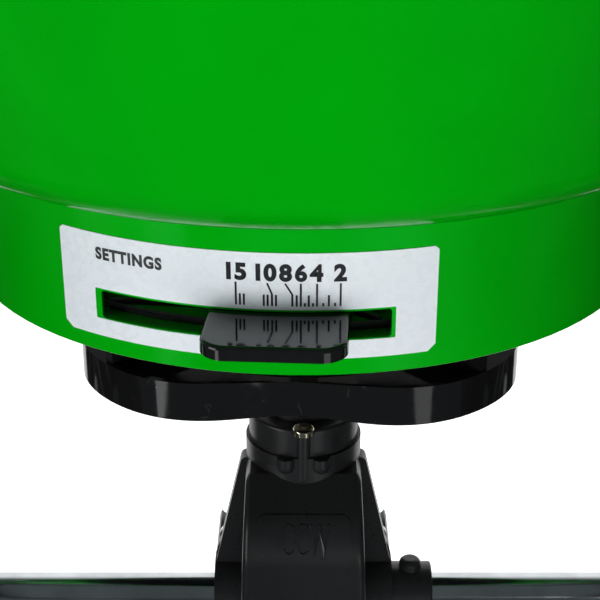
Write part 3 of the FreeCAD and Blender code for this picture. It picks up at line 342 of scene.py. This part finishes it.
def rubber(name, colour, dust, gloss=0.62, pores=0.00005):
    """Matt rubber with a grey bloom and grit in its pores."""
    look = Shader(name)
    bloom = look.ranged(look.noise(0.018, 5.0, 0.65), 0.42, 0.7, 0.0, dust)
    look.colour(look.mixed(bloom, colour, (0.09, 0.085, 0.075)))
    look.roughness(look.ranged(look.noise(0.006, 4.0), 0.3, 0.7, gloss, gloss + 0.2))
    look.bump(look.noise(0.0007, 3.0, 0.6), pores)
    return look.material


def foam():
    """Closed-cell foam with open surface cells, each pore painted darker than the rims between them as painted
    shade.
    """
    look = Shader("foam")
    cells = look.cells(0.0011)
    # painted shade: the colour runs from dark at the bottom of each pore to lighter on its rim, following the
    # same cells that the bump sinks into pits
    share = look.ranged(cells, 0.2, 0.7, 0.0, 1.0)
    look.colour(look.mixed(share, (0.009, 0.009, 0.010), (0.028, 0.028, 0.030)))
    look.roughness(look.ranged(look.noise(0.01), 0.3, 0.7, 0.8, 0.95))
    look.bump(cells, 0.00025)
    look.constant(Sheen_Weight=0.15)
    return look.material


materials = {
    "green_plastic": green_plastic(),
    "label_white": label_vinyl(),
    "black_gloss": black_gloss(),
    "black_satin": black_satin(),
    "nylon": nylon(),
    "zinc": plated("zinc", (0.66, 0.70, 0.72), 0.10, True),
    "plain_steel": plated("plain_steel", (0.42, 0.42, 0.43), 0.22, True, 0.2),
    "frame_paint": powder_coat(),
    "nickel": plated("nickel", (0.78, 0.70, 0.52), 0.08, False),
    "rubber_black": rubber("rubber_black", (0.018, 0.018, 0.019), 0.2),
    "tyre_black": rubber("tyre_black", (0.013, 0.013, 0.014), 0.18, 0.44, 0.000012),
    "foam": foam(),
    "wheel_plastic": wheel_plastic(),
}
ink = printed_ink()


def finish_cad_nodes():
    """Gives every CAD node the finish of its slot in the record."""
    for node in nodes.values():
        for holder in node.material_slots:
            slot = holder.material.name.split(".")[0]
            holder.material = materials[slot]


# Mesh helpers ----------------------------------------------------------------------------------
def mesh_from(work, name):
    """Turns a bmesh into a mesh and frees it."""
    mesh = bpy.data.meshes.new(name)
    work.to_mesh(mesh)
    work.free()
    return mesh


def piece(name, mesh, material, body):
    """Puts a finished mesh in the scene, with its material, on a CAD body."""
    made = bpy.data.objects.new(name, mesh)
    bpy.context.scene.collection.objects.link(made)
    mesh.materials.clear()
    mesh.materials.append(material)
    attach(made, body)
    return made


def flat_text(body, height, weight, thickness, spacing=1.0):
    """Lettering as a closed mesh, centred on x, its lowest point at y = 0 and its back at z = 0."""
    curve = bpy.data.curves.new("lettering", "FONT")
    curve.body = body
    curve.align_x = "CENTER"
    curve.offset = weight
    curve.space_character = spacing
    curve.extrude = 0.1
    curve.resolution_u = 8
    holder = bpy.data.objects.new("lettering", curve)
    bpy.context.scene.collection.objects.link(holder)
    bpy.context.view_layer.update()
    mesh = bpy.data.meshes.new_from_object(holder.evaluated_get(bpy.context.evaluated_depsgraph_get()))
    bpy.data.objects.remove(holder)
    lows = [min(v.co[i] for v in mesh.vertices) for i in range(3)]
    highs = [max(v.co[i] for v in mesh.vertices) for i in range(3)]
    scale = height / (highs[1] - lows[1])
    for v in mesh.vertices:
        v.co.x = (v.co.x - (lows[0] + highs[0]) / 2) * scale
        v.co.y = (v.co.y - lows[1]) * scale
        v.co.z = thickness if v.co.z > 0 else 0.0
    return mesh


def on_label(arc, height, lift):
    """A point on the label: an angle in degrees from straight back, and a height above the skirt's edge."""
    radius = skirt_radius + skirt_draft * height + label_skin + lift
    turn = math.radians(arc)
    return Vector((radius * math.sin(turn), axle_y - radius * math.cos(turn), skirt_bottom + height))


def arc_degrees(length):
    return math.degrees(length / skirt_radius)


def printed_text(text, angle, low, height, width, weight, spacing=1.0):
    """Lettering wrapped on the label; a width squeezes it to a condensed face."""
    mesh = flat_text(text, height, weight, print_thickness, spacing)
    natural = max(v.co.x for v in mesh.vertices) * 2
    squeeze = width / natural if width else 1.0
    for v in mesh.vertices:
        v.co = on_label(angle + arc_degrees(v.co.x * squeeze), low + v.co.y, v.co.z)
    return mesh


def printed_stroke(points):
    """A line of constant width on the label through (angle, height) points, as a closed thin strip."""
    work = bmesh.new()
    rows = []
    half = arc_degrees(ink_tick_width / 2)
    for angle, height in points:
        corners = [(angle - half, 0.0), (angle + half, 0.0), (angle + half, print_thickness),
                   (angle - half, print_thickness)]
        rows.append([work.verts.new(on_label(a, height, lift)) for a, lift in corners])
    for low, high in zip(rows, rows[1:]):
        for i in range(4):
            j = (i + 1) % 4
            work.faces.new((low[i], low[j], high[j], high[i]))
    work.faces.new(rows[0][::-1])
    work.faces.new(rows[-1])
    bmesh.ops.recalc_face_normals(work, faces=work.faces)
    return mesh_from(work, "stroke")


def joined_mesh(name, meshes):
    work = bmesh.new()
    for mesh in meshes:
        work.from_mesh(mesh)
        bpy.data.meshes.remove(mesh)
    return mesh_from(work, name)


def turned_mesh(name, section, steps, centre, cut=None):
    """A closed skin of (across, radius) points, turned about a line along X, less cut(index, turn)."""
    work = bmesh.new()
    rings = []
    for step in range(steps):
        turn = 2 * math.pi * step / steps
        ring = []
        for index, (across, radius) in enumerate(section):
            out = radius - cut(index, turn) if cut else radius
            place = (centre[0] + across, centre[1] + out * math.sin(turn), centre[2] + out * math.cos(turn))
            ring.append(work.verts.new(place))
        rings.append(ring)
    for here, there in zip(rings, rings[1:] + rings[:1]):
        for i in range(len(section)):
            j = (i + 1) % len(section)
            work.faces.new((here[i], here[j], there[j], there[i]))
    bmesh.ops.recalc_face_normals(work, faces=work.faces)
    mesh = mesh_from(work, name)
    mesh.shade_smooth()
    return mesh


# Label print -----------------------------------------------------------------------------------
def print_scale():
    strokes = []
    for angle in long_ticks:
        strokes.append(printed_stroke([(angle, tick_foot), (angle, long_tick)]))
    for top, foot in bent_ticks:
        strokes.append(printed_stroke([(foot, tick_foot), (foot, bend_height), (top, long_tick)]))
    for angle in medium_ticks:
        strokes.append(printed_stroke([(angle, tick_foot), (angle, medium_tick)]))
    for angle in short_ticks:
        strokes.append(printed_stroke([(angle, tick_foot), (angle, short_tick)]))
    piece("scale_ticks", joined_mesh("scale_ticks", strokes), ink, "chassis")
    numerals = [
        printed_text(text, angle, numeral_low, numeral_height, None, weight)
        for text, angle, weight in scale_numbers
    ]
    piece("scale_numbers", joined_mesh("scale_numbers", numerals), ink, "chassis")
    caption = printed_text("SETTINGS", caption_angle, caption_low, caption_height, caption_width, 0.05, 1.16)
    piece("scale_caption", caption, ink, "chassis")


# Raised mark on the gearbox --------------------------------------------------------------------
def surface_of(node):
    """A search tree over a CAD node's faces, in the frame's metres."""
    holder = nodes[node]
    places = [holder.matrix_world @ v.co for v in holder.data.vertices]
    return BVHTree.FromPolygons(places, [tuple(p.vertices) for p in holder.data.polygons])


def raise_turn_mark():
    """Moulded letters for the disc's direction of turn, which follow the panel they stand on."""
    mesh = flat_text("CCW", mark_height, mark_weight, mark_relief)
    squeeze = mark_width / (max(v.co.x for v in mesh.vertices) * 2)
    panel = surface_of("gearbox_front_shell")
    for v in mesh.vertices:
        x, z, lift = mark_middle + v.co.x * squeeze, mark_low + v.co.y, v.co.z
        hit = panel.ray_cast(Vector((x, axle_y - probe_back, z)), Vector((0.0, 1.0, 0.0)))[0]
        v.co = Vector((x, hit.y + mark_sink - lift, z))
    piece("turn_mark", mesh, materials["black_satin"], "chassis")


# Tyres -----------------------------------------------------------------------------------------
def smooth_step(value, low, high):
    t = min(1.0, max(0.0, (value - low) / (high - low)))
    return t * t * (3 - 2 * t)


def tyre_outline():
    """Half of a tyre's section, as (across, radius): tread from its middle, wall, bead and inside."""
    half = tyre_width / 2
    rise = tyre_radius - tyre_widest
    power = tyre_squareness
    tread = []
    for i in range(tread_points):
        across = tread_cover * half * i / (tread_points - 1)
        tread.append((across, tyre_widest + rise * (1 - (across / half) ** power) ** (1 / power)))
    for i in range(1, shoulder_points + 1):
        turn = shoulder_turn * (1 - i / shoulder_points)
        across = half * math.cos(turn) ** (2 / power)
        tread.append((across, tyre_widest + rise * math.sin(turn) ** (2 / power)))
    wall = []
    for i in range(1, wall_points + 1):
        turn = math.pi / 2 * i / wall_points
        ridge = wall_ridge * math.sin(turn * wall_ridges) ** 2
        across = rim_half + (half - rim_half) * math.cos(turn) + ridge
        drop = (tyre_widest - bead_radius - bead_height) * math.sin(turn)
        wall.append((min(across, half), tyre_widest - drop))
    bead = [
        (rim_half, bead_radius + bead_chamfer[1]),
        (rim_half - bead_chamfer[0], bead_radius),
        (rim_half - bead_width, bead_radius),
    ]
    inside = []
    for i in range(inside_points):
        turn = math.pi / 2 * i / (inside_points - 1)
        across = (half - side_thickness) * abs(math.cos(turn)) ** inside_squareness
        out = tyre_widest - crown_thickness + (rise - crown_thickness) * math.sin(turn) ** inside_squareness
        inside.append((across, out))
    return tread + wall + bead + inside


def tread_depth(across, turn):
    """How deep the tread is cut at a place on the tyre: a zigzag middle rib with staggered blocks beside it."""
    distance = abs(across)
    fade = 1.0 - smooth_step(distance, *groove_fade)
    pitch = turn / (2 * math.pi) * tread_pitches
    zigzag = zigzag_reach * (abs((pitch * 2) % 2 - 1) * 2 - 1)
    inner, outer = ring_grooves
    rings = max(1.0 - smooth_step(abs(distance - ring - zigzag), *ring_edge) for ring in ring_grooves)
    side = 0.5 if across > 0 else 0.0
    slant = outer_slant if distance > outer else inner_slant
    place = (pitch + side + slant * distance) % 1.0
    cross = 1.0 - smooth_step(abs(place - 0.5), *cross_edge) if distance >= inner else 0.0
    return tread_groove * fade * max(rings, cross)


def make_tyre(node):
    """A rubber tyre with a cut tread, in place of the plain CAD one."""
    low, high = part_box(node)
    half_section = tyre_outline()
    section = half_section + [(-across, radius) for across, radius in half_section[-2:0:-1]]
    treaded = tread_points + shoulder_points

    def cut(index, turn):
        outer = index < treaded or index > len(section) - treaded
        return tread_depth(section[index][0], turn) if outer else 0.0

    centre = ((low.x + high.x) / 2, axle_y, axle_z)
    mesh = turned_mesh(node + "_tread", section, tread_pitches * steps_per_pitch, centre, cut)
    mesh.set_sharp_from_angle(angle=math.radians(tyre_crease))
    body = "axle_set" if node.startswith("drive") else "free_wheel"
    tyre = piece(node + "_tread", mesh, materials["tyre_black"], body)
    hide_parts(node)


# Handle grip -----------------------------------------------------------------------------------
def make_grip():
    """A foam sleeve, pressed in a little where hands hold it, with ends hollowed out to a thin lip."""
    low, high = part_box("handle_grip")
    half, radius = (high.x - low.x) / 2, (high.z - low.z) / 2
    section = [(-half + grip_lip_back, handle_tube_radius)]
    for i in range(grip_lip_points):
        hollow = grip_lip * (1 - math.sin(math.pi / 2 * i / (grip_lip_points - 1)))
        section.append((-half + hollow, radius - hollow - grip_inset))
    far_end = [(-across, out) for across, out in reversed(section)]
    for i in range(1, grip_lengths):
        across = -half + grip_lip + 2 * (half - grip_lip) * i / grip_lengths
        hold = math.cos(math.pi * across / (2 * half)) ** 2
        section.append((across, radius - grip_inset - grip_hold * hold))
    section += far_end
    mesh = turned_mesh("grip_sleeve", section, grip_steps, (low + high) / 2)
    sleeve = piece("grip_sleeve", mesh, materials["foam"], "chassis")
    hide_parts("handle_grip")


# Studio ----------------------------------------------------------------------------------------
def make_camera():
    data = bpy.data.cameras.new("camera")
    data.sensor_width = 36.0
    data.lens = camera_lens
    data.clip_start = 0.02
    camera = bpy.data.objects.new("camera", data)
    camera.location = (camera_aside, axle_y - camera_back, skirt_bottom + camera_up)
    camera.rotation_euler = (math.radians(90 - camera_pitch), 0.0, 0.0)
    bpy.context.scene.collection.objects.link(camera)
    bpy.context.scene.camera = camera


def make_world():
    """White to the camera and behind the object; a dim, slightly blue room in front of it and below."""
    world = bpy.data.worlds.new("studio")
    bpy.context.scene.world = world
    world.use_nodes = True
    tree = world.node_tree
    room = tree.nodes["Background"]
    direction = tree.nodes.new("ShaderNodeTexCoord").outputs["Generated"]
    split = tree.nodes.new("ShaderNodeSeparateXYZ")
    tree.links.new(direction, split.inputs["Vector"])
    behind = tree.nodes.new("ShaderNodeMapRange")
    behind.interpolation_type = "SMOOTHSTEP"
    behind.inputs["From Min"].default_value = room_turns_white[0]
    behind.inputs["From Max"].default_value = room_turns_white[1]
    tree.links.new(split.outputs["Y"], behind.inputs["Value"])
    shade = tree.nodes.new("ShaderNodeMix")
    shade.data_type = "RGBA"
    shade.inputs[6].default_value = room_dim
    shade.inputs[7].default_value = (1.0, 1.0, 1.0, 1.0)
    tree.links.new(behind.outputs["Result"], shade.inputs["Factor"])
    tree.links.new(shade.outputs[2], room.inputs["Color"])
    backdrop = tree.nodes.new("ShaderNodeBackground")
    backdrop.inputs["Color"].default_value = (1.0, 1.0, 1.0, 1.0)
    chosen = tree.nodes.new("ShaderNodeMixShader")
    seen = tree.nodes.new("ShaderNodeLightPath").outputs["Is Camera Ray"]
    tree.links.new(seen, chosen.inputs["Fac"])
    tree.links.new(room.outputs["Background"], chosen.inputs[1])
    tree.links.new(backdrop.outputs["Background"], chosen.inputs[2])
    tree.links.new(chosen.outputs["Shader"], tree.nodes["World Output"].inputs["Surface"])


def soft_light(name, place, target, width, height, watts):
    """A white rectangular light at a place, facing a target."""
    data = bpy.data.lights.new(name, "AREA")
    data.shape = "RECTANGLE"
    data.size = width
    data.size_y = height
    data.energy = watts
    light = bpy.data.objects.new(name, data)
    light.location = place
    light.rotation_euler = (target - place).to_track_quat("-Z", "Y").to_euler()
    bpy.context.scene.collection.objects.link(light)
    return light


def make_floor():
    look = Shader("studio_floor")
    look.colour(look.mixed(look.noise(0.6, 3.0), (0.88, 0.88, 0.88), (0.90, 0.90, 0.90)))
    look.constant(Roughness=0.8, Emission_Color=(1.0, 1.0, 1.0, 1.0), Emission_Strength=0.7)
    bpy.ops.mesh.primitive_plane_add(size=floor_size, location=(0.0, axle_y, -floor_drop))
    floor = bpy.context.object
    floor.name = "studio_floor"
    floor.data.materials.append(look.material)
    floor.visible_diffuse = False
    floor.visible_glossy = False


def make_lights():
    """Broad boxes that only brighten, and small cards that the gloss also shows."""
    centre = Vector((0.0, axle_y, lit_height))
    boxes = (
        ("top_box", (0.35, 0.3, 2.3), 2.4, 2.4, 54.0),
        ("key_box", (-0.1, -1.3, -0.3), 0.9, 0.5, 14.0),
        ("fill_box", (0.75, -1.1, -0.5), 0.8, 0.5, 4.8),
    )
    for name, place, width, height, watts in boxes:
        box = soft_light(name, centre + Vector(place), centre, width, height, watts)
        box.visible_glossy = False
    soft_light("left_card", centre + Vector((-1.5, -0.9, 0.0)), centre, 0.9, 1.2, 9.0)
    cards = (
        ("low_card_left", (-1.3, -1.4, -0.75), 0.4, 0.5, 18.0),
        ("low_card_right", (0.85, -1.7, -0.8), 0.75, 0.5, -32.0),
    )
    for name, place, width, height, roll in cards:
        card = soft_light(name, centre + Vector(place), centre, width, height, card_watts)
        card.rotation_euler.rotate_axis("Z", math.radians(roll))


finish_cad_nodes()
print_scale()
raise_turn_mark()
make_tyre("drive_wheel_tyre")
make_tyre("free_wheel_tyre")
make_grip()
make_camera()
make_world()
make_floor()
make_lights()
bpy.context.scene.view_settings.view_transform = "Standard"
